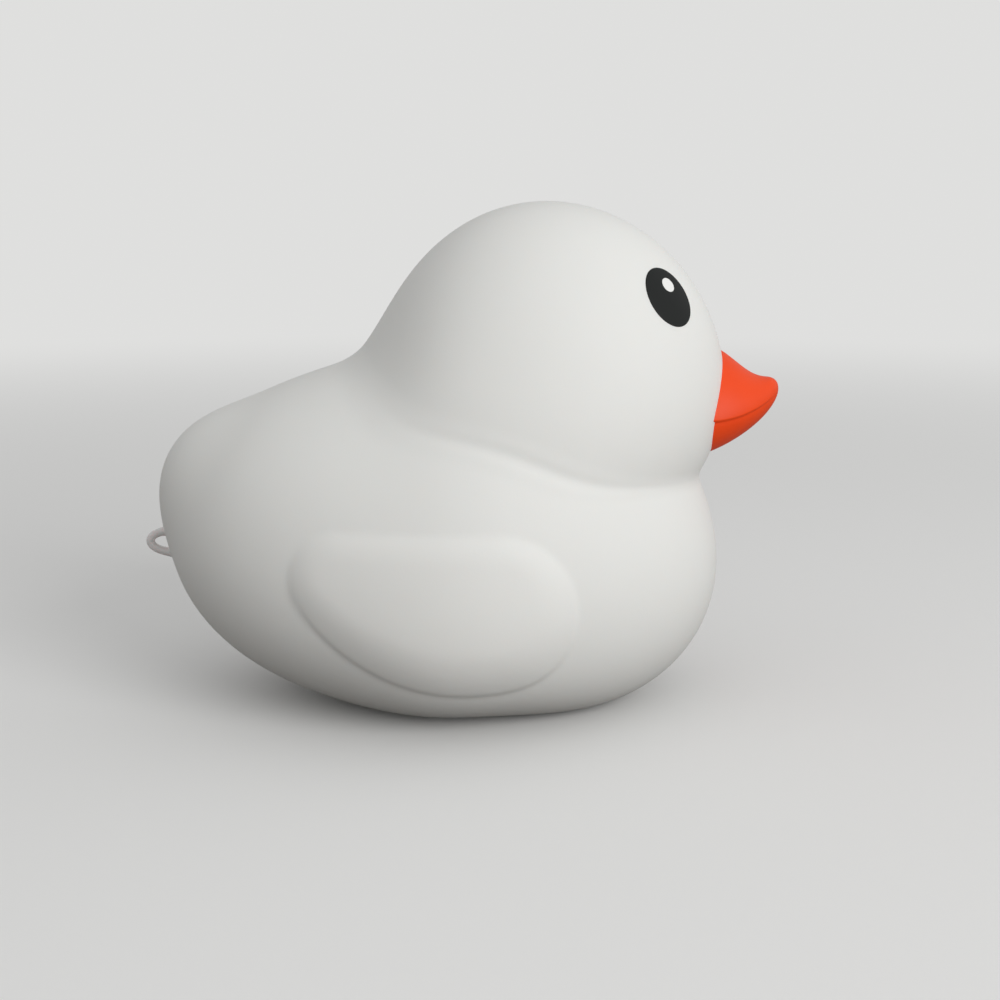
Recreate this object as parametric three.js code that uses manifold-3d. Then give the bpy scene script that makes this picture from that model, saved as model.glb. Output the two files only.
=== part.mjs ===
// A large soft vinyl duck that stands on its flat base. Body, wings and head are one hollow white
// moulding. The orange bill, the flat black eyes with their white glints and the small tail loop
// are set in it. Millimetres, +Z up. The duck faces +X, and its right side is towards -Y.
// The origin is the middle of the flat base.

import * as THREE from 'three';
import { mergeVertices } from 'three/addons/utils/BufferGeometryUtils.js';
import Module from 'manifold-3d';

// Skin
const WALL = 2.2; // thickness of the skin
const FLOOR = 2.6; // thickness of the flat base
const VENT_DIAMETER = 3; // air hole in the base
const VENT_BEHIND = 16; // air hole behind the middle of the base
const SEAT_SHARE = 0.4; // share of the skin's thickness that a piece is set into
const SEAT = SEAT_SHARE * WALL;
const SEAT_GAP = 0.3; // clearance round each piece that is set in the skin

// Body: side outline, as reaches from the middle of the body at equal angles from the breast upwards
const BODY_X = -6.5; // middle of the body, ahead of the origin
const BODY_Z = 34.6; // middle of the body, above the base
const BODY_HALF_WIDTH = 49.5;
const BODY_BREAST = 64;
const BODY_THROAT = 60.6;
const BODY_NECK_FRONT = 58.9;
const BODY_NECK_BACK = 52.9;
const BODY_BACK = 62.6;
const BODY_RUMP = 67.9;
const BODY_UNDER_TAIL = 50.2;
const BODY_KEEL_BACK = 39.8;
const BODY_KEEL_FRONT = 40.3;
const BODY_CRAW = 55.3;

// Tail: a ball that the body runs out into
const TAIL_RUN = 55.4; // middle of the tail behind the middle of the body
const TAIL_RISE = 18.4; // and above it
const TAIL_RADIUS = 12.5;
const TAIL_BLEND = 13.4; // how softly the body runs into it

// Head: side outline, as reaches from the middle of the head at equal angles from the face upwards
const HEAD_X = 5.6; // middle of the head, ahead of the origin
const HEAD_Z = 62.2; // middle of the head, above the base
const HEAD_HALF_WIDTH = 40.9;
const HEAD_FACE = 50.4;
const HEAD_BROW = 59.2;
const HEAD_CROWN = 55.5;
const HEAD_BACK = 41.4;
const HEAD_NAPE = 54.4;
const HEAD_NECK_BACK = 73.3;
const HEAD_NECK = 43.8;
const HEAD_CHIN = 33.8;

// Wings: a raised pad on each side. Its outline runs round an arc at its back end, along a wide arc
// round its foot, round an arc at its front end, and straight back along its top.
const WING_BACK_X = -30.4; // middle of the back arc, ahead of the origin
const WING_BACK_Z = 38; // middle of the back arc, above the base
const WING_BACK_RADIUS = 11;
const WING_FRONT_X = 3.6; // middle of the front arc, ahead of the origin
const WING_FRONT_Z = 30.4; // middle of the front arc, above the base
const WING_FRONT_RADIUS = 18.4;
const WING_FOOT_RADIUS = 45.3;
const WING_FOOT_RELIEF = 2; // how far the pad stands out, at its foot
const WING_TOP_RELIEF = 1; // and at its top
const WING_FOOT_SHOULDER = 15; // width of its rounded edge, at its foot
const WING_TOP_SHOULDER = 5.5; // and at its top
const WING_STEP = 0.5; // step round the foot of the pad, which runs out towards its top
const WING_STEP_WIDTH = 1; // width over which it rises
const WING_RIM = 1; // how far the pad runs on under the skin, round its outline
const WING_ROOT = 1.6; // how deep the pad reaches into the skin

// Bill: from the corners of the mouth to its tip
const BILL_BEHIND = 4.56; // corners of the mouth, behind the front of the face at their height
const BILL_OVER = 6.8; // corners of the mouth, above the middle of the head
const BILL_LENGTH = 18.4;
const BILL_HALF_WIDTH = 15.3;
const BILL_RISE = 5.8; // climb of the mouth line from the corners to the tip
const BILL_BRIDGE = 16.2; // height of the upper half at the face
const BILL_FLAT = 6.4; // height of the upper half towards the tip
const BILL_JAW = 9.8; // depth of the lower half at the face
const BILL_CHIN = 3.5; // depth of the lower half towards the tip
const BILL_LIP = 1; // how far the upper half hangs over the lower one at the sides
const BILL_TIP_LIP = 0.3; // and at the tip
const BILL_ROOT = 9; // stretch of the bill behind the corners of the mouth, before the face cuts it
const BILL_PLAN = 1.5; // outline from above: 1 is a pointed end, 2 a round one
const BILL_CURL = 2; // how the mouth line climbs: 1 is straight, more keeps its climb for the tip
const BILL_CHEEK = 1.25; // section at the face: 1 is round, 2 has straight cheeks up to the bridge
const BILL_STOP = [0.05, 0.85]; // shares of the length between which the bridge comes down to the flat
const BILL_SNUB = 4.5; // how late the upper half rounds off at the tip, and the lower one twice as late

// Eyes, and the glints in them
const EYE_WIDTH = 13;
const EYE_HEIGHT = 14.7;
const EYE_TURN = 28.1; // degrees outwards from straight ahead, seen from the middle of the head
const EYE_LIFT = 40.3; // degrees upwards
const EYE_PROUD = 0.15; // how far they stand out of the skin
const GLINT_DIAMETER = 3.5;
const GLINT_UP = 2.5; // middle of the glint over the middle of the eye
const GLINT_AHEAD = 1.4; // and ahead of it

// Tail loop: a bent strand with both ends in the skin
const LOOP_STRAND = 2; // thickness of the strand
const LOOP_HEIGHT = 7.4; // over the strand
const LOOP_PROUD = 6.2; // how far the loop stands out of the tail
const LOOP_Z = 37.3; // middle of the loop, above the base

// Fineness of the curved faces
const BODY_GRID = 20;
const HEAD_GRID = 16;
const CAVITY_GRID = 8;
const WING_SPOKES = 48;
const WING_RINGS = 18;
const BILL_AROUND = 36;
const BILL_STEPS = 20;
const EYE_SPOKES = 36;
const EYE_RINGS = 8;
const GLINT_SPOKES = 16;
const GLINT_RINGS = 4;
const STRAND_SIDES = 12;
const LOOP_STEPS = 20;
const VENT_SIDES = 24;

const TURN = 2 * Math.PI;
const BEYOND = 2 * BODY_RUMP; // farther out than any face of the duck
const ROOT_END = 0.001; // narrow end of the bill inside the head, as a share of its width
const ROUNDING = 6; // how near to their sides the outlines of body and head turn round
const { clamp, degToRad, euclideanModulo, lerp, smoothstep } = THREE.MathUtils;

const wasm = await Module();
wasm.setup();

// A closed three.js geometry as a solid that can be cut and joined.
function solid(geometry) {
  geometry.deleteAttribute('normal');
  geometry.deleteAttribute('uv');
  const merged = mergeVertices(geometry, 1e-4);
  return new wasm.Manifold(new wasm.Mesh({
    numProp: 3,
    vertProperties: merged.attributes.position.array,
    triVerts: new Uint32Array(merged.index.array),
  }));
}

// A solid as a named mesh.
function piece(name, shape, material) {
  const { vertProperties, triVerts } = shape.getMesh();
  const geometry = new THREE.BufferGeometry();
  geometry.setAttribute('position', new THREE.BufferAttribute(vertProperties, 3));
  geometry.setIndex(new THREE.BufferAttribute(triVerts, 1));
  geometry.computeVertexNormals();
  const mesh = new THREE.Mesh(geometry, material);
  mesh.name = name;
  return mesh;
}

// Where a function that is below zero at one value and above it at the other crosses zero.
function crossing(value, inside, outside) {
  let low = inside;
  let high = outside;
  for (let step = 0; step < 40; step += 1) {
    const middle = (low + high) / 2;
    if (value(middle) < 0) {
      low = middle;
    } else {
      high = middle;
    }
  }
  return (low + high) / 2;
}

// Radius at any angle of a smooth closed outline through an even number of equally spaced reaches.
function reachAt(reaches, angle) {
  const count = reaches.length;
  return reaches.reduce((radius, reach, index) => {
    const half = (angle - (index * TURN) / count) / 2;
    const sine = Math.sin(half);
    const share = Math.abs(sine) < 1e-9 ? 1 : (Math.sin(count * half) * Math.cos(half)) / (count * sine);
    return radius + reach * share;
  }, 0);
}

// A rounded form with an outline in side view and a half width across.
function makeForm(x, z, halfWidth, reaches) {
  const circle = reaches.reduce((sum, reach) => sum + reach, 0) / reaches.length;
  return { x, z, halfWidth, reaches, circle };
}

// Height over a rounded form. Towards its sides the outline turns into a circle.
function overForm(form, x, y, z) {
  const ahead = x - form.x;
  const above = z - form.z;
  const radius = Math.hypot(ahead, y, above);
  const upright = Math.hypot(ahead, above) / radius;
  const sideways = Math.abs(y) / radius;
  const outline = reachAt(form.reaches, Math.atan2(above, ahead));
  const reach = lerp(outline, form.circle, sideways ** ROUNDING);
  return radius - 1 / Math.hypot(upright / reach, sideways / form.halfWidth);
}

const BODY = makeForm(BODY_X, BODY_Z, BODY_HALF_WIDTH, [
  BODY_BREAST, BODY_THROAT, BODY_NECK_FRONT, BODY_NECK_BACK, BODY_BACK,
  BODY_RUMP, BODY_UNDER_TAIL, BODY_KEEL_BACK, BODY_KEEL_FRONT, BODY_CRAW,
]);

const HEAD = makeForm(HEAD_X, HEAD_Z, HEAD_HALF_WIDTH, [
  HEAD_FACE, HEAD_BROW, HEAD_CROWN, HEAD_BACK,
  HEAD_NAPE, HEAD_NECK_BACK, HEAD_NECK, HEAD_CHIN,
]);

// Height over the body and its tail, which run together softly.
function overBody(x, y, z) {
  const hull = overForm(BODY, x, y, z);
  const tail = Math.hypot(x - BODY_X + TAIL_RUN, y, z - BODY_Z - TAIL_RISE) - TAIL_RADIUS;
  const share = clamp(0.5 + (tail - hull) / TAIL_BLEND / 2, 0, 1);
  return lerp(tail, hull, share) - TAIL_BLEND * share * (1 - share);
}

function overHead(x, y, z) {
  return overForm(HEAD, x, y, z);
}

// Place of the corners of the mouth.
const MOUTH_Z = HEAD_Z + BILL_OVER;
const MOUTH_X = HEAD_X - BILL_BEHIND + crossing((r) => overHead(HEAD_X + r, 0, MOUTH_Z), 0, BEYOND);

// Skin of a rounded form at a depth under its surface: a box with a grid on each side, blown up
// along the rays from its middle. The grid is even in angle, 90 degrees from edge to edge.
function skin(over, middle, depth, grid) {
  const side = TURN / 4;
  const ball = new THREE.BoxGeometry(side, side, side, grid, grid, grid);
  const position = ball.attributes.position;
  const ray = new THREE.Vector3();
  for (let i = 0; i < position.count; i += 1) {
    ray.fromBufferAttribute(position, i);
    ray.set(Math.tan(ray.x), Math.tan(ray.y), Math.tan(ray.z)).normalize();
    const height = (r) => over(middle.x + r * ray.x, r * ray.y, middle.z + r * ray.z) + depth;
    const radius = crossing(height, 0, BEYOND);
    position.setXYZ(i, middle.x + radius * ray.x, radius * ray.y, middle.z + radius * ray.z);
  }
  return solid(ball);
}

// Body and head run together, at a depth under their surfaces.
function bodyAndHead(depth, bodyGrid, headGrid) {
  return skin(overBody, BODY, depth, bodyGrid).add(skin(overHead, HEAD, depth, headGrid));
}

// A block that fills everything under a level.
function below(level) {
  const block = new THREE.BoxGeometry(2 * BEYOND, 2 * BEYOND, BEYOND);
  return solid(block.translate(0, 0, level - BEYOND / 2));
}

// A thin closed pad, made from a ball. place gives the point at an angle round the pad and at a
// share of the way from its middle to its rim, on its front or its back. Side -1 faces -Y.
function pad(side, spokes, rings, place) {
  const ball = new THREE.SphereGeometry(1, spokes, rings);
  const position = ball.attributes.position;
  const point = new THREE.Vector3();
  for (let i = 0; i < position.count; i += 1) {
    point.fromBufferAttribute(position, i);
    const share = Math.min(Math.hypot(point.x, point.z), 1);
    const spot = place(side * Math.atan2(point.z, point.x), share, point.y > 0);
    position.setXYZ(i, spot.x, spot.y, spot.z);
  }
  return solid(ball);
}

// The three arcs of the wing's outline. The wide one runs on smoothly from the two others.
function wingArcs() {
  const back = { x: WING_BACK_X, z: WING_BACK_Z, radius: WING_BACK_RADIUS };
  const front = { x: WING_FRONT_X, z: WING_FRONT_Z, radius: WING_FRONT_RADIUS };
  const toBack = WING_FOOT_RADIUS - back.radius;
  const toFront = WING_FOOT_RADIUS - front.radius;
  const run = front.x - back.x;
  const rise = front.z - back.z;
  const length = Math.hypot(run, rise);
  const along = (length ** 2 + toBack ** 2 - toFront ** 2) / (2 * length);
  const across = Math.sqrt(Math.max(toBack ** 2 - along ** 2, 0));
  const foot = {
    x: back.x + (run * along - rise * across) / length,
    z: back.z + (rise * along + run * across) / length,
    radius: WING_FOOT_RADIUS,
  };
  return [back, foot, front];
}

const WING_ARCS = wingArcs();

// Angles at which the outline of the wing leaves each arc.
const WING_TURNS = WING_ARCS.map((arc, index) => {
  const next = WING_ARCS[(index + 1) % WING_ARCS.length];
  const gap = Math.hypot(next.x - arc.x, next.z - arc.z);
  const run = Math.atan2(next.z - arc.z, next.x - arc.x);
  return run - Math.acos(clamp((arc.radius - next.radius) / gap, -1, 1));
});

// How far a point in side view lies inside the outline of the wing.
function insideWing(x, z) {
  return WING_ARCS.reduce((inside, arc, index) => {
    const before = WING_TURNS.at(index - 1);
    const after = WING_TURNS[index];
    const ahead = x - arc.x;
    const above = z - arc.z;
    const line = arc.radius - Math.cos(after) * ahead - Math.sin(after) * above;
    const turned = euclideanModulo(Math.atan2(above, ahead) - before, TURN);
    const onArc = turned < euclideanModulo(after - before, TURN);
    const curve = onArc ? arc.radius - Math.hypot(ahead, above) : line;
    return Math.min(inside, line, curve);
  }, Infinity);
}

// How far the wing stands out at a point in side view.
function wingRelief(x, z) {
  const rise = smoothstep(z, WING_FRONT_Z - WING_FRONT_RADIUS, WING_BACK_Z + WING_BACK_RADIUS);
  const relief = lerp(WING_FOOT_RELIEF, WING_TOP_RELIEF, rise);
  const shoulder = lerp(WING_FOOT_SHOULDER, WING_TOP_SHOULDER, rise);
  const inside = insideWing(x, z);
  const slope = 1 - clamp(inside / shoulder, 0, 1);
  const step = WING_STEP * (1 - rise) * clamp(inside / WING_STEP_WIDTH, 0, 1);
  return relief * (1 - slope ** 2) + step + Math.min(inside, 0);
}

// Raised wing pad on one side.
function wing(side) {
  const middleX = (WING_BACK_X + WING_FRONT_X) / 2;
  const middleZ = (WING_BACK_Z + WING_FRONT_Z) / 2;
  return pad(side, WING_SPOKES, WING_RINGS, (angle, share, front) => {
    const ahead = Math.cos(angle);
    const above = Math.sin(angle);
    const outline = crossing((r) => -insideWing(middleX + r * ahead, middleZ + r * above), 0, BEYOND);
    const x = middleX + share * (outline + WING_RIM) * ahead;
    const z = middleZ + share * (outline + WING_RIM) * above;
    const height = front ? wingRelief(x, z) : -WING_ROOT;
    const surface = crossing((y) => overBody(x, y, z), 0, BEYOND);
    return new THREE.Vector3(x, side * (surface + height), z);
  });
}

// Point on a ray from the middle of the head, at a height over its surface.
function onHead(ray, height) {
  const surface = crossing((r) => overHead(HEAD_X + r * ray.x, r * ray.y, HEAD_Z + r * ray.z), 0, BEYOND);
  return new THREE.Vector3(HEAD_X, 0, HEAD_Z).addScaledVector(ray, surface + height);
}

// Oval pad that follows the face. The oval has a width and a height, and its middle lies ahead of
// the middle of the eye and up from it. The pad reaches from a depth under the skin to a height over it.
function facePad(side, oval, height, depth, spokes, rings) {
  const turn = degToRad(EYE_TURN);
  const lift = degToRad(EYE_LIFT);
  const fore = new THREE.Vector3(Math.sin(turn), -side * Math.cos(turn), 0);
  const flat = new THREE.Vector3(Math.cos(turn), side * Math.sin(turn), 0);
  const out = flat.clone().multiplyScalar(Math.cos(lift)).setZ(Math.sin(lift));
  const up = flat.clone().multiplyScalar(-Math.sin(lift)).setZ(Math.cos(lift));
  const middle = new THREE.Vector3(HEAD_X, 0, HEAD_Z);
  const eyeMiddle = onHead(out, 0).sub(middle);
  return pad(side, spokes, rings, (angle, share, front) => {
    const along = share * (oval.width / 2) * Math.cos(angle) + oval.ahead;
    const over = share * (oval.height / 2) * Math.sin(angle) + oval.up;
    const ray = eyeMiddle.clone().addScaledVector(fore, along).addScaledVector(up, over).normalize();
    return onHead(ray, front ? height : -depth);
  });
}

// Outline of an eye, larger all round by a margin.
function eyeOval(margin) {
  return { width: EYE_WIDTH + 2 * margin, height: EYE_HEIGHT + 2 * margin, ahead: 0, up: 0 };
}

// Outline of a glint, larger all round by a margin.
function glintOval(margin) {
  const across = GLINT_DIAMETER + 2 * margin;
  return { width: across, height: across, ahead: GLINT_AHEAD, up: GLINT_UP };
}

// Flat black eye, with a hole right through it for the glint.
function eye(side) {
  const through = SEAT + EYE_PROUD;
  const hole = facePad(side, glintOval(SEAT_GAP), through, through, GLINT_SPOKES, GLINT_RINGS);
  return facePad(side, eyeOval(0), EYE_PROUD, SEAT, EYE_SPOKES, EYE_RINGS).subtract(hole);
}

function glint(side) {
  return facePad(side, glintOval(0), EYE_PROUD, SEAT, GLINT_SPOKES, GLINT_RINGS);
}

// Shallow pocket in the face that an eye and its glint sit in.
function eyePocket(side) {
  const depth = SEAT + SEAT_GAP;
  return facePad(side, eyeOval(SEAT_GAP), depth, depth, EYE_SPOKES, EYE_RINGS);
}

// A number raised to a power, with its sign kept.
function spread(value, power) {
  return Math.sign(value) * Math.abs(value) ** power;
}

// Half of the bill, made from a ball with one pole at the tip and the other inside the head. section
// gives its half width, its heights over and under the mouth line and its arch, at a share of its length.
function billHalf(length, section) {
  const ball = new THREE.SphereGeometry(1, BILL_AROUND, BILL_STEPS);
  const position = ball.attributes.position;
  const point = new THREE.Vector3();
  for (let i = 0; i < position.count; i += 1) {
    point.fromBufferAttribute(position, i);
    const share = Math.max(point.y, 0);
    const run = point.y > 0 ? share * length : point.y * BILL_ROOT;
    const { halfWidth, over, under, arch } = section(share);
    const angle = Math.atan2(point.z, point.x);
    const open = Math.min(Math.hypot(point.x, point.z) / ROOT_END, 1);
    const across = open * halfWidth * spread(Math.cos(angle), arch);
    const upright = open * spread(Math.sin(angle), arch) * (point.z > 0 ? over : under);
    const climb = BILL_RISE * Math.max(run / BILL_LENGTH, 0) ** BILL_CURL;
    position.setXYZ(i, MOUTH_X + run, -across, MOUTH_Z + climb + upright);
  }
  return solid(ball);
}

// Share of a half width that is left at a share of the bill's length.
function billPlan(share) {
  return (1 - share ** BILL_PLAN) ** (1 / BILL_PLAN);
}

// Bill, larger all round by a margin, cut off at a depth under the face.
function bill(margin, depth) {
  const upper = billHalf(BILL_LENGTH + margin, (share) => {
    const end = Math.sqrt(1 - share ** BILL_SNUB);
    return {
      halfWidth: (BILL_HALF_WIDTH + margin) * billPlan(share),
      over: (lerp(BILL_BRIDGE, BILL_FLAT, smoothstep(share, ...BILL_STOP)) + margin) * end,
      under: (BILL_LIP + margin) * end,
      arch: lerp(BILL_CHEEK, 1, share),
    };
  });
  const lower = billHalf(BILL_LENGTH - BILL_TIP_LIP + margin, (share) => {
    const end = Math.sqrt(1 - share ** (2 * BILL_SNUB));
    return {
      halfWidth: (BILL_HALF_WIDTH - BILL_LIP + margin) * billPlan(share),
      over: BILL_LIP * end,
      under: (lerp(BILL_JAW, BILL_CHIN, share) + margin) * end,
      arch: 1,
    };
  });
  return upper.add(lower).subtract(skin(overHead, HEAD, depth, HEAD_GRID));
}

// Bent strand of the tail loop: a radius, and how deep its ends lie in the tail.
function strand(radius, depth) {
  const foot = (LOOP_HEIGHT - LOOP_STRAND) / 2;
  const back = (z) => BODY_X - crossing((r) => overBody(BODY_X - r, 0, z), 0, BEYOND);
  const top = new THREE.Vector3(back(LOOP_Z + foot) + depth, 0, LOOP_Z + foot);
  const bottom = new THREE.Vector3(back(LOOP_Z - foot) + depth, 0, LOOP_Z - foot);
  const farthest = back(LOOP_Z) - LOOP_PROUD + LOOP_STRAND / 2;
  const handle = (8 * farthest - top.x - bottom.x) / 6; // puts the middle of the curve at farthest
  const path = new THREE.CubicBezierCurve3(
    top,
    new THREE.Vector3(handle, 0, top.z),
    new THREE.Vector3(handle, 0, bottom.z),
    bottom,
  );
  const section = new THREE.Shape().absarc(0, 0, radius, 0, TURN);
  return solid(new THREE.ExtrudeGeometry(section, {
    steps: LOOP_STEPS,
    curveSegments: STRAND_SIDES / 2,
    extrudePath: path,
    bevelEnabled: false,
  }));
}

// Air hole through the flat base.
function vent() {
  const bore = new THREE.CylinderGeometry(VENT_DIAMETER / 2, VENT_DIAMETER / 2, 4 * FLOOR, VENT_SIDES);
  return solid(bore.rotateX(Math.PI / 2).translate(-VENT_BEHIND, 0, 0));
}

// The hollow white moulding, with a seat for each piece that is set in it.
function duckBody() {
  const outside = bodyAndHead(0, BODY_GRID, HEAD_GRID).add(wing(-1)).add(wing(1)).subtract(below(0));
  const inside = bodyAndHead(WALL, CAVITY_GRID, CAVITY_GRID).subtract(below(FLOOR));
  return outside
    .subtract(inside)
    .subtract(vent())
    .subtract(eyePocket(-1))
    .subtract(eyePocket(1))
    .subtract(bill(SEAT_GAP, SEAT + SEAT_GAP))
    .subtract(strand(LOOP_STRAND / 2 + SEAT_GAP, SEAT + SEAT_GAP));
}

const whiteSkin = new THREE.MeshStandardMaterial({ color: 0xe6e7e2, roughness: 0.62, metalness: 0 });
const orangeVinyl = new THREE.MeshStandardMaterial({ color: 0xf4552b, roughness: 0.42, metalness: 0 });
const blackPrint = new THREE.MeshStandardMaterial({ color: 0x2b2d2c, roughness: 0.4, metalness: 0 });
const whitePrint = new THREE.MeshStandardMaterial({ color: 0xf2f2ee, roughness: 0.45, metalness: 0 });
const clearVinyl = new THREE.MeshStandardMaterial({ color: 0xd9cfcb, roughness: 0.3, metalness: 0 });

const duck = new THREE.Group();
duck.add(piece('duck_body', duckBody(), whiteSkin));
duck.add(piece('beak', bill(0, SEAT), orangeVinyl));
[['right', -1], ['left', 1]].forEach(([name, side]) => {
  duck.add(piece(`eye_${name}`, eye(side), blackPrint));
  duck.add(piece(`glint_${name}`, glint(side), whitePrint));
});
duck.add(piece('tail_loop', strand(LOOP_STRAND / 2, SEAT), clearVinyl));

export default duck;
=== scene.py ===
"""The looks of a large white vinyl duck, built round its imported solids.

Lengths are in millimetres until a mesh is made, in the frame of the solids: +Z up, the duck faces
+X with its right side towards -Y, and the origin is the middle of its flat base.
"""

import math

import bpy
import numpy as np
from mathutils import Euler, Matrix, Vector


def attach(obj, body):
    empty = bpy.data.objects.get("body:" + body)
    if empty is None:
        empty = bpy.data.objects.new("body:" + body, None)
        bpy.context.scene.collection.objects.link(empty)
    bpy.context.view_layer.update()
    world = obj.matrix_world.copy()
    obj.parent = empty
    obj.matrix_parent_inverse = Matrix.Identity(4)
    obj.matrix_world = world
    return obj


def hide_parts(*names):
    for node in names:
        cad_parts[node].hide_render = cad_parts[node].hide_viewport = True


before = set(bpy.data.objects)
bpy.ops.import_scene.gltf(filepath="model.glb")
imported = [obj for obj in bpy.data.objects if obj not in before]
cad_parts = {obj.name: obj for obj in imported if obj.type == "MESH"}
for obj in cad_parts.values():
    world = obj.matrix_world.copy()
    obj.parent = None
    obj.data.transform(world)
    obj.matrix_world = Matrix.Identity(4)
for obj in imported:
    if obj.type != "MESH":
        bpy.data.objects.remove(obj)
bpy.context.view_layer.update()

MM = 0.001
BODY = "root"  # the frame's one body, which every piece rides on

# Camera
PITCH = 11  # degrees downwards
LENS = 54
SENSOR = 36
CAMERA_DISTANCE = 365.25
LOOKED_AT = (4.8, 0, 47.65)

# Body: side outline, as reaches from its middle at equal angles from the breast upwards
BODY_FORM = {
    "middle": (-6.5, 34.6),
    "half_width": 49.5,
    "reaches": (64, 60.6, 58.9, 52.9, 62.6, 67.9, 50.2, 39.8, 40.3, 55.3),
}
TAIL_MIDDLE = (-61.9, 53)  # of a ball that makes the high tail
TAIL_RADIUS = 12.5
TAIL_BLEND = 13.4

# Head: side outline, as reaches from its middle at equal angles from the face upwards
HEAD_FORM = {
    "middle": (5.6, 62.2),
    "half_width": 40.9,
    "reaches": (50.4, 59.2, 55.5, 41.4, 54.4, 73.3, 43.8, 33.8),
}
ROUNDING = 6  # how near to its sides a form turns round

# Crease between body and head, from the nape to the throat
NAPE_X = -30
THROAT_X = 55
NAPE_BLEND = 2.8  # its softness at the nape
THROAT_BLEND = 2.2  # and at the throat
NECK_LINE = 0.4  # depth of the fine line in it, halfway from one to the other
NECK_LINE_WIDTH = 0.8

# Skin
NECK = (5, 0, 60)  # a point that sees the whole skin from inside
WALL = 2.2
BASE_WALL = 2.6
INSET = 0.02  # keeps the rounder skin within the box of its solid
BASE_ROUND = 2.4  # softness of the edge of the flat base
VENT_X = -16
VENT_DIAMETER = 3
VENT_EDGE = 50  # degrees between faces from which an edge stays sharp

# Wings: a raised pad on each side. Its outline runs round an arc at its back end, along a wide arc
# round its foot, round an arc at its front end, and straight back along its top. Where two numbers
# are given, they are for its foot and its top.
WING_BACK = (-30.4, 38, 11)  # x, z and radius of an arc
WING_FRONT = (3.6, 30.4, 18.4)
WING_FOOT_RADIUS = 45.3
WING_RELIEF = (2, 1)  # how far the pad stands out
WING_SHOULDER = (15, 5.5)  # width of its rounded edge
WING_STEP = (0.5, 0)  # height of the step round it
WING_STEP_WIDTH = 1
WING_FILLET = 0.3  # softness of the line at the foot of that step

# Bill: an upper half that hangs over a lower one. It runs from the corners of the mouth, where its
# sides meet the face, to its tip.
BILL_CORNER = (53.19, 69)  # x and z
BILL_LENGTH = 18.4
BILL_HALF_WIDTH = 15.3
BILL_PLAN = 1.5  # power of its outline seen from above
BILL_RISE = 5.8  # how far the mouth climbs towards the tip
BILL_CURL = 2  # power of that climb
BILL_BRIDGE = 16.2  # height over the mouth at the face
BILL_FLAT = 6.4  # and towards the tip
BILL_STOP = (0.05, 0.85)  # shares of the length between which one turns into the other
BILL_JAW = 9.8  # depth under the mouth at the face
BILL_CHIN = 3.5  # and at the tip
BILL_SNUB = 4.5  # power of the tip's rounding in side view
BILL_CHEEK = 1.25  # arch of the upper half at the face, where 1 is an oval
BILL_LIP = 1  # how far the upper half hangs over
BILL_SEAT = 0.88  # depth in the face
BILL_BEHIND = -20.0  # run far behind the face, where the search for it begins
BILL_SPREAD = (17, 12)  # half width and half height of an oval that spaces its points
MOUTH_BLEND = 0.7  # softness of the crease between the two halves
MOUTH_FADE = 0.25  # share of the length, at the tip, over which that softness fades out

# Eyes: ovals on the face, each with a glint. Their middle is seen from the middle of the head.
EYE_WIDTH = 13
EYE_HEIGHT = 14.7
EYE_TURN = 28.1  # degrees sideways from straight ahead
EYE_LIFT = 40.3  # degrees upwards
EYE_PROUD = 0.12
EYE_SEAT = 0.5  # depth in the face
GLINT_DIAMETER = 3.5
GLINT_PROUD = EYE_PROUD + 0.05
GLINT_UP = 2.5  # from the middle of the eye
GLINT_AHEAD = 1.4
PAD_EDGE = 0.02  # width of an oval's rounded edge, as a share of its half width

# Tail loop
LOOP_STRAND = 2
LOOP_HEIGHT = 7.4
LOOP_PROUD = 6.18
LOOP_Z = 37.3
LOOP_SEAT = 0.88
LOOP_SWELL = 0.45  # by what share the strand is thicker at its ends
LOOP_SWELL_RUN = 0.09  # share of its length over which it thins again

# Studio: lengths in metres, angles in degrees
FLOOR_RADIUS = 6
PALE = (0.86, 0.86, 0.85)
PALE_STRENGTH = 0.86
BOUNCE = (0.27, 0.26, 0.25)  # the floor as the duck sees it
FADE = (0.25, 1.1)  # distances between which the floor turns into the background
SKY = (1, 1, 1)
SKY_STRENGTH = 0.56
LAMP_DISTANCE = 1.35
LAMP_SIZE = 0.9
LAMP_TURN = 41
LAMP_LIFT = 20
LAMP_POWER = 10
LIT = (0, 0, 60)  # what the lamp faces, in millimetres

# Fineness of the meshes
SKIN_GRID = 112
CAVITY_GRID = 32
VENT_AROUND = 48
BILL_AROUND = 192
BILL_ALONG = 72
PAD_AROUND = 96
PAD_EDGE_RINGS = 5
PAD_RINGS = np.linspace(0.9, 0.1, 9)  # as shares of the half width
LOOP_AROUND = 32
LOOP_ALONG = 64
FLOOR_AROUND = 96
HALVINGS = 28  # steps of a search for a surface

TURN = 2 * math.pi
BEYOND = 150.0  # farther than any surface
TINY = 1e-9  # keeps radii and angles off zero
SMALL = 1e-6  # least width, height and softness on the bill


def smoothstep(low, high, value):
    share = np.clip((value - low) / (high - low), 0, 1)
    return share * share * (3 - 2 * share)


def soft_min(a, b, blend):
    """The smaller of two heights, with the change from one to the other rounded over a width."""
    share = np.clip(0.5 + (b - a) / blend / 2, 0, 1)
    return b + (a - b) * share - blend * share * (1 - share)


def soft_max(a, b, blend):
    return -soft_min(-a, -b, blend)


def last_inside(low, high, inside):
    """Where each of many tests that holds at a low bound stops holding, up to a high bound."""
    for _ in range(HALVINGS):
        half = (low + high) / 2
        holds = inside(half)
        low = np.where(holds, half, low)
        high = np.where(holds, high, half)
    return low


def cast(over, middle, rays):
    """Points where rays from a middle come out through a surface."""
    middle = np.asarray(middle, float)

    def inside(reach):
        return over(*(middle + reach[:, None] * rays).T) < 0

    count = len(rays)
    return middle + last_inside(np.zeros(count), np.full(count, BEYOND), inside)[:, None] * rays


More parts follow.
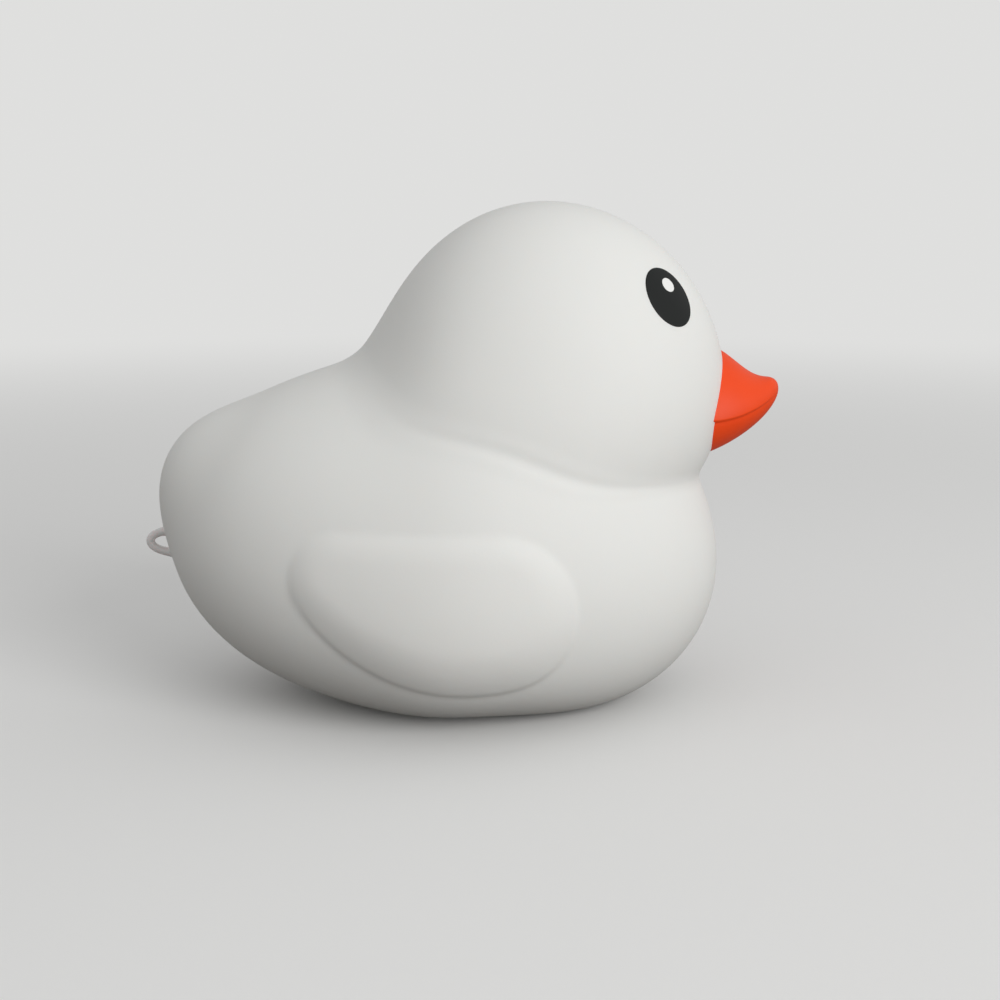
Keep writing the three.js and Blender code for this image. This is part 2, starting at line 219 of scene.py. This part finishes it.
def reach_at(reaches, angle):
    """Radius at each angle of a smooth closed outline through equally spaced reaches."""
    count = len(reaches)
    radius = np.zeros_like(angle)
    for index, reach in enumerate(reaches):
        half = (angle - index * TURN / count) / 2 + TINY
        radius += reach * np.sin(count * half) * np.cos(half) / (count * np.sin(half))
    return radius


def over_form(form, x, y, z):
    """Height over a rounded form that has an outline in side view and a half width across. Towards
    its sides the outline turns into a circle."""
    ahead = x - form["middle"][0]
    above = z - form["middle"][1]
    radius = np.sqrt(ahead**2 + y**2 + above**2) + TINY
    upright = np.hypot(ahead, above) / radius
    sideways = y / radius
    circle = sum(form["reaches"]) / len(form["reaches"])
    outline = reach_at(form["reaches"], np.arctan2(above, ahead))
    reach = outline + (circle - outline) * sideways**ROUNDING
    return radius - 1 / np.hypot(upright / reach, sideways / form["half_width"])


def over_body(x, y, z):
    hull = over_form(BODY_FORM, x, y, z)
    tail = np.sqrt((x - TAIL_MIDDLE[0]) ** 2 + y**2 + (z - TAIL_MIDDLE[1]) ** 2) - TAIL_RADIUS
    return soft_min(hull, tail, TAIL_BLEND)


def over_head(x, y, z):
    return over_form(HEAD_FORM, x, y, z)


def wing_arcs():
    """x, z and radius of the three arcs of the wing's outline. The wide one runs on smoothly from
    the two others."""
    back = np.array(WING_BACK[:2])
    span = np.array(WING_FRONT[:2]) - back
    length = math.hypot(*span)
    to_back = WING_FOOT_RADIUS - WING_BACK[2]
    to_front = WING_FOOT_RADIUS - WING_FRONT[2]
    along = (length**2 + to_back**2 - to_front**2) / (2 * length)
    across = math.sqrt(to_back**2 - along**2)
    foot = back + (along * span + across * np.array([-span[1], span[0]])) / length
    return WING_BACK, (*foot, WING_FOOT_RADIUS), WING_FRONT


WING_ARCS = wing_arcs()


def leaving_turn(arc, after):
    """Angle at which the outline of the wing leaves one arc for the next."""
    run, rise = after[0] - arc[0], after[1] - arc[1]
    return math.atan2(rise, run) - math.acos((arc[2] - after[2]) / math.hypot(run, rise))


def inside_wing(x, z):
    """How far points in side view lie inside the outline of the wing."""
    inside = np.full(np.shape(x), np.inf)
    for number, arc in enumerate(WING_ARCS):
        start = leaving_turn(WING_ARCS[number - 1], arc)
        end = leaving_turn(arc, WING_ARCS[(number + 1) % len(WING_ARCS)])
        ahead = x - arc[0]
        above = z - arc[1]
        line = arc[2] - math.cos(end) * ahead - math.sin(end) * above
        turned = np.mod(np.arctan2(above, ahead) - start, TURN)
        curve = np.where(turned < (end - start) % TURN, arc[2] - np.hypot(ahead, above), line)
        inside = np.minimum(inside, np.minimum(line, curve))
    return inside


def wing_relief(x, z):
    """How far the skin stands out at the wings, seen from the side."""
    rise = smoothstep(WING_FRONT[1] - WING_FRONT[2], WING_BACK[1] + WING_BACK[2], z)
    relief, shoulder, step = (
        foot + (top - foot) * rise for foot, top in (WING_RELIEF, WING_SHOULDER, WING_STEP)
    )
    inside = inside_wing(x, z)
    slope = 1 - np.clip(inside / shoulder, 0, 1)
    edge = np.clip(inside / WING_STEP_WIDTH, 0, 1)
    pad = relief * (1 - slope**2) + step * edge + np.minimum(inside, 0)
    return soft_max(pad, np.zeros_like(pad), WING_FILLET)


def over_duck(x, y, z):
    """Height over the whole skin, with its crease, its wings and its flat base."""
    body = over_body(x, np.abs(y) - wing_relief(x, z), z)
    head = over_head(x, y, z)
    forward = smoothstep(NAPE_X, THROAT_X, x)
    halfway = 4 * forward * (1 - forward)  # 1 there, and 0 at the nape and the throat
    line = NECK_LINE * halfway * np.exp(-(((body - head) / NECK_LINE_WIDTH) ** 2))
    blend = NAPE_BLEND + (THROAT_BLEND - NAPE_BLEND) * forward
    return soft_max(soft_min(body, head, blend) + line + INSET, -z, BASE_ROUND)


def over_cavity(x, y, z):
    """Height over the hollow inside."""
    hollow = soft_min(over_body(x, y, z), over_head(x, y, z), NAPE_BLEND) + WALL
    return soft_max(hollow, BASE_WALL - z, BASE_ROUND)


def ball_grid(count):
    """Unit rays and quads of a box blown up to a ball, with a number of cells along each edge."""
    u, v = np.meshgrid(np.arange(count + 1), np.arange(count + 1), indexing="ij")
    numbers = np.arange((count + 1) ** 2).reshape(count + 1, count + 1)
    cell = np.stack([numbers[:-1, :-1], numbers[1:, :-1], numbers[1:, 1:], numbers[:-1, 1:]], -1)
    corners = []
    quads = []
    for axis in range(3):
        for end in (0, count):
            side = np.empty((count + 1, count + 1, 3), int)
            side[..., axis] = end
            side[..., (axis + 1) % 3] = u
            side[..., (axis + 2) % 3] = v
            first = len(corners) * numbers.size
            outwards = cell.reshape(-1, 4) + first
            quads.append(outwards if end else outwards[:, ::-1])
            corners.append(side.reshape(-1, 3))
    lattice, index = np.unique(np.concatenate(corners), axis=0, return_inverse=True)
    rays = np.tan((2 * lattice / count - 1) * math.pi / 4)
    return rays / np.linalg.norm(rays, axis=1)[:, None], index.ravel()[np.concatenate(quads)]


def rings(rows):
    """Points and faces of a closed surface: a first point, rings of points round an axis, and a
    last point. Seen from the last point, the rings run anticlockwise."""
    points = np.concatenate([np.atleast_2d(row) for row in rows])
    size = len(rows[1])
    end = len(points) - 1
    around = [(a, (a + 1) % size) for a in range(size)]
    faces = [(0, 1 + b, 1 + a) for a, b in around]
    for low in range(1, end - size, size):
        high = low + size
        faces += [(low + a, low + b, high + b, high + a) for a, b in around]
    faces += [(end - size + a, end - size + b, end) for a, b in around]
    return points, faces


def make_piece(name, points, faces, material, slot, *nodes):
    """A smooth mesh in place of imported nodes."""
    mesh = bpy.data.meshes.new(name)
    mesh.from_pydata((points * MM).tolist(), [], [tuple(map(int, face)) for face in faces])
    mesh.validate()
    mesh.shade_smooth()
    mesh.materials.append(material)
    piece = bpy.data.objects.new(name, mesh)
    bpy.context.scene.collection.objects.link(piece)
    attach(piece, BODY)
    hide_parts(*nodes)
    return piece


def add_node(tree, kind, **values):
    """A node with some of its properties and inputs set."""
    node = tree.nodes.new(kind)
    for name, value in values.items():
        if hasattr(node, name):
            setattr(node, name, value)
        else:
            node.inputs[name].default_value = value
    return node


def tone_between(tree, first, second, share):
    """Output with a colour between two, by a share that another output gives."""
    mix = add_node(tree, "ShaderNodeMix", data_type="RGBA", A=(*first, 1), B=(*second, 1))
    tree.links.new(share, mix.inputs["Factor"])
    return mix.outputs["Result"]


def noise(tree, scale, detail, roughness=0.5):
    """Output of a noise that is fixed to the piece."""
    place = add_node(tree, "ShaderNodeTexCoord")
    cloud = add_node(tree, "ShaderNodeTexNoise", Scale=scale, Detail=detail, Roughness=roughness)
    tree.links.new(place.outputs["Object"], cloud.inputs["Vector"])
    return cloud.outputs["Fac"]


def bump(tree, height, strength, distance, under=None):
    """Output of a bump that a noise makes, over another bump if one is given."""
    layer = add_node(tree, "ShaderNodeBump", Strength=strength, Distance=distance)
    tree.links.new(height, layer.inputs["Height"])
    if under:
        tree.links.new(under, layer.inputs["Normal"])
    return layer.outputs["Normal"]


def new_material(name, inputs):
    """A material, with the tree and the shader of its nodes, and some of the shader's inputs."""
    material = bpy.data.materials.new(name)
    material.use_nodes = True
    tree = material.node_tree
    shader = tree.nodes["Principled BSDF"]
    for label, value in inputs.items():
        shader.inputs[label].default_value = value
    return material, tree, shader


def white_vinyl():
    material, tree, shader = new_material("white_vinyl", {
        "Roughness": 0.6,
        "Specular IOR Level": 0.4,
        "Subsurface Weight": 0.12,
        "Subsurface Radius": (0.004, 0.003, 0.0025),
        "Subsurface Scale": 1.0,
    })
    cloud = noise(tree, scale=28, detail=4, roughness=0.55)
    ripple = noise(tree, scale=55, detail=2)
    grain = noise(tree, scale=1800, detail=3, roughness=0.6)
    colour = tone_between(tree, (0.795, 0.792, 0.765), (0.825, 0.826, 0.8), cloud)
    broad = bump(tree, ripple, strength=0.25, distance=0.0004)
    fine = bump(tree, grain, strength=0.12, distance=0.0001, under=broad)
    tree.links.new(colour, shader.inputs["Base Color"])
    tree.links.new(fine, shader.inputs["Normal"])
    return material


def orange_vinyl():
    material, tree, shader = new_material("orange_vinyl", {
        "Roughness": 0.5,
        "Specular IOR Level": 0.3,
    })
    cloud = noise(tree, scale=120, detail=3)
    grain = noise(tree, scale=1500, detail=2)
    colour = tone_between(tree, (0.85, 0.06, 0.004), (0.91, 0.072, 0.007), cloud)
    fine = bump(tree, grain, strength=0.15, distance=0.0001)
    tree.links.new(colour, shader.inputs["Base Color"])
    tree.links.new(fine, shader.inputs["Normal"])
    return material


def plain_print(name, colour, roughness):
    material, tree, shader = new_material(name, {
        "Base Color": (*colour, 1),
        "Roughness": roughness,
        "Specular IOR Level": 0.25,
    })
    grain = noise(tree, scale=900, detail=3)
    fine = bump(tree, grain, strength=0.1, distance=0.0001)
    tree.links.new(fine, shader.inputs["Normal"])
    return material


def clear_vinyl():
    return new_material("clear_vinyl", {
        "Base Color": (0.96, 0.88, 0.87, 1),
        "Roughness": 0.25,
        "Transmission Weight": 0.12,
        "Subsurface Weight": 0.5,
        "Subsurface Radius": (0.003, 0.002, 0.002),
        "Subsurface Scale": 1.0,
    })[0]


def duck_skin():
    """The white moulding: its outside and, inside, its hollow."""
    rays, quads = ball_grid(SKIN_GRID)
    outside = cast(over_duck, NECK, rays)
    inner_rays, inner_quads = ball_grid(CAVITY_GRID)
    inside = cast(over_cavity, NECK, inner_rays)
    points = np.concatenate([outside, inside])
    faces = np.concatenate([quads, inner_quads[:, ::-1] + len(outside)])
    skin = make_piece("duck_skin", points, faces, white_vinyl(), "white_vinyl", "duck_body")
    bore_vent(skin)


def bore_vent(skin):
    """Cuts the air hole through the flat base."""
    bpy.ops.mesh.primitive_cylinder_add(
        vertices=VENT_AROUND,
        radius=VENT_DIAMETER / 2 * MM,
        depth=4 * BASE_WALL * MM,
        location=(VENT_X * MM, 0, 0),
    )
    bore = bpy.context.object
    cut = skin.modifiers.new("vent", "BOOLEAN")
    cut.operation = "DIFFERENCE"
    cut.solver = "MANIFOLD"
    cut.object = bore
    solved = skin.evaluated_get(bpy.context.evaluated_depsgraph_get())
    mesh = bpy.data.meshes.new_from_object(solved)
    skin.modifiers.remove(cut)
    skin.data = mesh
    bpy.data.objects.remove(bore)
    mesh.set_sharp_from_angle(angle=math.radians(VENT_EDGE))


def bill_section(share):
    """Share of the half width, heights of bridge and jaw over and under the mouth, and share of the
    lip, at each share of the bill's length."""
    plan = (1 - share**BILL_PLAN) ** (1 / BILL_PLAN)
    upper_end = np.sqrt(1 - share**BILL_SNUB)
    lower_end = np.sqrt(1 - share ** (2 * BILL_SNUB))
    bridge = BILL_BRIDGE + (BILL_FLAT - BILL_BRIDGE) * smoothstep(*BILL_STOP, share)
    jaw = BILL_JAW + (BILL_CHIN - BILL_JAW) * share
    return plan, bridge * upper_end, jaw * lower_end, upper_end


def oval_radius(angle, across, upright, arch):
    """Radius at an angle of a form that is an oval at an arch of 1 and has flatter sides above."""
    power = 2 / arch
    across = np.maximum(across, SMALL)
    upright = np.maximum(upright, SMALL)
    flat = (np.abs(np.cos(angle)) / across) ** power + (np.abs(np.sin(angle)) / upright) ** power
    return flat ** (-1 / power)


def bill_point(theta, run):
    """Points on the bill at angles round it and runs from the corners of the mouth."""
    share = np.clip(run / BILL_LENGTH, 0, 1)
    plan, bridge, jaw, end = bill_section(share)
    angle = np.arctan2(BILL_SPREAD[1] * np.sin(theta), BILL_SPREAD[0] * np.cos(theta))
    rising = np.sin(angle) > 0
    lip = BILL_LIP * end
    arch = BILL_CHEEK + (1 - BILL_CHEEK) * share
    width = BILL_HALF_WIDTH * plan
    upper = oval_radius(angle, width, np.where(rising, bridge, lip), arch)
    width = (BILL_HALF_WIDTH - BILL_LIP) * plan
    lower = oval_radius(angle, width, np.where(rising, lip, jaw), 1)
    radius = soft_max(upper, lower, MOUTH_BLEND * np.minimum(1, (1 - share) / MOUTH_FADE) + SMALL)
    x = BILL_CORNER[0] + run
    y = radius * np.cos(angle)
    z = BILL_CORNER[1] + BILL_RISE * share**BILL_CURL + radius * np.sin(angle)
    return np.stack([x, y, z], -1)


def bill():
    """The orange bill, from where it sits in the face to its tip."""
    theta = np.arange(BILL_AROUND) * TURN / BILL_AROUND
    behind = np.full(BILL_AROUND, BILL_BEHIND)
    tip = np.full(BILL_AROUND, BILL_LENGTH)

    def deep(run):
        return over_head(*bill_point(theta, run).T) < -BILL_SEAT

    root = last_inside(behind, tip, deep)
    rows = [bill_point(theta, root).mean(0)]
    for step in range(BILL_ALONG):
        share = math.sin(step / BILL_ALONG * math.pi / 2)
        rows.append(bill_point(theta, root + (tip - root) * share))
    rows.append(bill_point(theta[:1], tip[:1]))
    make_piece("bill", *rings(rows), orange_vinyl(), "orange_vinyl", "beak")


def face_pad(node, side, size, offset, proud, material, slot):
    """A thin oval on the face, with a rounded edge. Its offset is ahead of and over the middle of
    the eye, and side is 1 on the left and -1 on the right."""
    turn = math.radians(EYE_TURN)
    lift = math.radians(EYE_LIFT)
    flat = np.array([math.cos(turn), side * math.sin(turn), 0])
    fore = np.array([math.sin(turn), -side * math.cos(turn), 0])
    out = flat * math.cos(lift) + np.array([0, 0, math.sin(lift)])
    rise = -flat * math.sin(lift) + np.array([0, 0, math.cos(lift)])
    middle = np.array([HEAD_FORM["middle"][0], 0, HEAD_FORM["middle"][1]])
    reach = np.linalg.norm(cast(over_head, middle, out[None]) - middle)
    theta = -side * np.arange(PAD_AROUND) * TURN / PAD_AROUND

    def ring(share, height, angles=theta):
        ahead = share * size[0] / 2 * np.cos(angles) + offset[0]
        above = share * size[1] / 2 * np.sin(angles) + offset[1]
        rays = reach * out + ahead[:, None] * fore + above[:, None] * rise
        rays /= np.linalg.norm(rays, axis=1)[:, None]
        return cast(over_head, middle, rays) + height * rays

    rows = [ring(0, -EYE_SEAT, theta[:1]), ring(1, -EYE_SEAT)]
    for angle in np.linspace(0, math.pi / 2, PAD_EDGE_RINGS):
        rows.append(ring(1 - PAD_EDGE + PAD_EDGE * math.cos(angle), proud * math.sin(angle)))
    rows += [ring(share, proud) for share in PAD_RINGS]
    rows.append(ring(0, proud, theta[:1]))
    make_piece(f"{node}_print", *rings(rows), material, slot, node)


def eyes():
    black = plain_print("black_print", (0.008, 0.0095, 0.009), roughness=0.5)
    white = plain_print("white_print", (0.86, 0.86, 0.84), roughness=0.4)
    eye = (EYE_WIDTH, EYE_HEIGHT)
    glint = (GLINT_DIAMETER, GLINT_DIAMETER)
    glint_offset = (GLINT_AHEAD, GLINT_UP)
    for name, side in (("right", -1), ("left", 1)):
        face_pad(f"eye_{name}", side, eye, (0, 0), EYE_PROUD, black, "black_print")
        face_pad(f"glint_{name}", side, glint, glint_offset, GLINT_PROUD, white, "white_print")


def bezier(handles, t):
    """Point and direction at a share of the run of a Bezier curve."""
    weights = ((1 - t) ** 3, 3 * (1 - t) ** 2 * t, 3 * (1 - t) * t**2, t**3)
    slopes = (3 * (1 - t) ** 2, 6 * (1 - t) * t, 3 * t**2)
    spot = sum(w * p for w, p in zip(weights, handles))
    ahead = sum(s * (b - a) for s, a, b in zip(slopes, handles, handles[1:]))
    return spot, ahead / np.linalg.norm(ahead)


def tail_loop():
    """The bent strand at the tail."""
    foot = (LOOP_HEIGHT - LOOP_STRAND) / 2

    def back(z):
        start = (BODY_FORM["middle"][0], 0, z)
        return cast(over_body, start, np.array([[-1.0, 0, 0]]))[0, 0]

    top = np.array([back(LOOP_Z + foot) + LOOP_SEAT, 0, LOOP_Z + foot])
    bottom = np.array([back(LOOP_Z - foot) + LOOP_SEAT, 0, LOOP_Z - foot])
    farthest = back(LOOP_Z) - LOOP_PROUD + LOOP_STRAND / 2
    reach = (8 * farthest - top[0] - bottom[0]) / 6  # puts the middle of the curve there
    handles = [top, np.array([reach, 0, top[2]]), np.array([reach, 0, bottom[2]]), bottom]
    theta = np.arange(LOOP_AROUND)[:, None] * TURN / LOOP_AROUND
    across = np.array([0, 1.0, 0])
    rows = [top]
    for t in np.linspace(0, 1, LOOP_ALONG + 1):
        spot, ahead = bezier(handles, t)
        swell = LOOP_SWELL * math.exp(-((min(t, 1 - t) / LOOP_SWELL_RUN) ** 2))
        radius = LOOP_STRAND / 2 * (1 + swell)
        upright = np.cross(ahead, across)
        rows.append(spot + radius * (np.cos(theta) * across + np.sin(theta) * upright))
    rows.append(bottom)
    make_piece("tail_strand", *rings(rows), clear_vinyl(), "clear_vinyl", "tail_loop")


def camera():
    data = bpy.data.cameras.new("camera")
    data.lens = LENS
    data.sensor_width = SENSOR
    data.clip_start = 0.01
    eye = bpy.data.objects.new("camera", data)
    pitch = math.radians(PITCH)
    ahead = Vector((0, math.cos(pitch), -math.sin(pitch)))
    eye.location = (Vector(LOOKED_AT) - CAMERA_DISTANCE * ahead) * MM
    eye.rotation_euler = Euler((math.pi / 2 - pitch, 0, 0))
    bpy.context.scene.collection.objects.link(eye)
    bpy.context.scene.camera = eye


def lamp():
    """Soft light from a disc to the front right. Its turn is counted from the camera's side."""
    data = bpy.data.lights.new("key", "AREA")
    data.shape = "DISK"
    data.size = LAMP_SIZE
    data.energy = LAMP_POWER
    disc = bpy.data.objects.new("key", data)
    turn = math.radians(LAMP_TURN)
    lift = math.radians(LAMP_LIFT)
    away = Vector((
        math.sin(turn) * math.cos(lift),
        -math.cos(turn) * math.cos(lift),
        math.sin(lift),
    ))
    disc.location = Vector(LIT) * MM + LAMP_DISTANCE * away
    disc.rotation_euler = away.to_track_quat("Z", "Y").to_euler()
    bpy.context.scene.collection.objects.link(disc)


def studio_floor():
    """A plain pale floor that turns into the background far off. The duck sees it darker."""
    bpy.ops.mesh.primitive_circle_add(vertices=FLOOR_AROUND, radius=FLOOR_RADIUS, fill_type="NGON")
    floor = bpy.context.object
    floor.name = "floor"
    material, tree, shader = new_material("floor", {"Roughness": 0.9, "Specular IOR Level": 0.1})
    link = tree.links.new
    by_camera = add_node(tree, "ShaderNodeLightPath").outputs["Is Camera Ray"]
    link(tone_between(tree, BOUNCE, PALE, by_camera), shader.inputs["Base Color"])
    place = add_node(tree, "ShaderNodeNewGeometry")
    distance = add_node(tree, "ShaderNodeVectorMath", operation="LENGTH")
    fade = add_node(tree, "ShaderNodeMapRange", interpolation_type="SMOOTHSTEP")
    fade.inputs["From Min"].default_value = FADE[0]
    fade.inputs["From Max"].default_value = FADE[1]
    seen = add_node(tree, "ShaderNodeMath", operation="MULTIPLY")
    glow = add_node(tree, "ShaderNodeEmission", Color=(*PALE, 1), Strength=PALE_STRENGTH)
    both = add_node(tree, "ShaderNodeMixShader")
    link(place.outputs["Position"], distance.inputs[0])
    link(distance.outputs["Value"], fade.inputs["Value"])
    link(fade.outputs["Result"], seen.inputs[0])
    link(by_camera, seen.inputs[1])
    link(seen.outputs["Value"], both.inputs["Fac"])
    link(shader.outputs["BSDF"], both.inputs[1])
    link(glow.outputs["Emission"], both.inputs[2])
    link(both.outputs["Shader"], tree.nodes["Material Output"].inputs["Surface"])
    floor.data.materials.append(material)


def sky():
    """The pale background, which lights the duck more faintly than it looks."""
    world = bpy.data.worlds.new("world")
    bpy.context.scene.world = world
    world.use_nodes = True
    tree = world.node_tree
    back = tree.nodes["Background"]
    by_camera = add_node(tree, "ShaderNodeLightPath").outputs["Is Camera Ray"]
    level = add_node(tree, "ShaderNodeMapRange")
    level.inputs["To Min"].default_value = SKY_STRENGTH
    level.inputs["To Max"].default_value = PALE_STRENGTH
    tree.links.new(by_camera, level.inputs["Value"])
    tree.links.new(level.outputs["Result"], back.inputs["Strength"])
    tree.links.new(tone_between(tree, SKY, PALE, by_camera), back.inputs["Color"])


camera()
duck_skin()
bill()
eyes()
tail_loop()
studio_floor()
sky()
lamp()

view = bpy.context.scene.view_settings
view.view_transform = "Standard"
